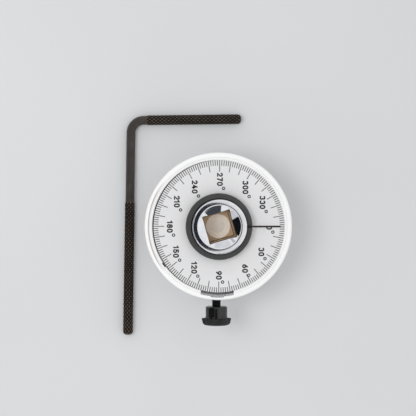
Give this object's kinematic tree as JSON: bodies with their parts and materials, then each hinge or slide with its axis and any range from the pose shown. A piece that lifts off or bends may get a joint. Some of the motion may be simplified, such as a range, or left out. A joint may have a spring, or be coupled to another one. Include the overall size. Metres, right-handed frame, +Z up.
{
  "type": "torque angle gauge",
  "caption": "Round torque angle gauge with a half-inch square drive, a degree dial, a settable pointer, and a thumb-screw clamp for a bent reaction rod.",
  "frame": {"origin": "centre of the male square's end face, on the drive axis, where the gauge stands", "axes": "+Z up the drive axis out of the dial, +X through zero on the scale, -Y through the clamp knob"},
  "size_m": [0.083, 0.1123, 0.0407],
  "materials": {
    "chrome_steel": "polished chrome plate",
    "bright_steel": "bright zinc plate",
    "blackened_steel": "black oxide",
    "bronze": "turned",
    "brass": "turned",
    "natural_nylon": "matt",
    "white_plastic": "smooth moulded",
    "satin_aluminium": "satin, printed scale",
    "black_plastic": "moulded",
    "black_rubber": "matt"
  },
  "bodies": {
    "case": {"case_body": "white_plastic", "bezel_ring": "white_plastic", "dial_plate": "satin_aluminium", "hub_bush": "bronze", "thrust_washer": "natural_nylon", "backing_washer": "bright_steel", "rod_clamp_block": "bright_steel", "clamp_block_screws": "bright_steel"},
    "drive": {"drive_shaft": "chrome_steel", "detent_spring": "bright_steel", "retaining_ring": "blackened_steel", "wave_washer": "bright_steel"},
    "detent": {"detent_ball": "bright_steel"},
    "pointer": {"pointer_ring": "black_plastic", "friction_ring": "black_rubber", "pointer_needle": "blackened_steel"},
    "clamp_pad": {"pressure_pad": "brass"},
    "clamp_knob": {"thumb_knob": "black_plastic", "clamp_screw": "blackened_steel"},
    "rod": {"reaction_rod": "blackened_steel"}
  },
  "joints": [
    {"name": "drive_turn", "type": "hinge", "parent": "case", "child": "drive", "pos_m": [0, 0, 0], "axis": [0, 0, 1], "continuous": true},
    {"name": "pointer_set", "type": "hinge", "parent": "drive", "child": "pointer", "pos_m": [0, 0, 0], "axis": [0, 0, 1], "continuous": true},
    {"name": "detent_press", "type": "slide", "parent": "drive", "child": "detent", "axis": [-0.9627, -0.2706, 0], "range_m": [0, 0.0011], "stiffness_N_per_m": 800, "springref_m": -0.001, "deforming": ["detent_spring"]},
    {"name": "clamp_feed", "type": "slide", "parent": "case", "child": "clamp_pad", "axis": [0, 1, 0], "range_m": [-0.0028, 0.0021]},
    {"name": "knob_turn", "type": "hinge", "parent": "clamp_pad", "child": "clamp_knob", "pos_m": [-0.0007, -0.0436, 0.0262], "axis": [0, 1, 0], "range_deg": [-1440, 1080]},
    {"name": "rod_lift", "type": "slide", "parent": "case", "child": "rod", "axis": [0, 0, 1], "range_m": [0, 0.06]}
  ],
  "couplings": [
    {"joint": "knob_turn", "follows": "clamp_feed", "rad_per_m": 8976}
  ]
}
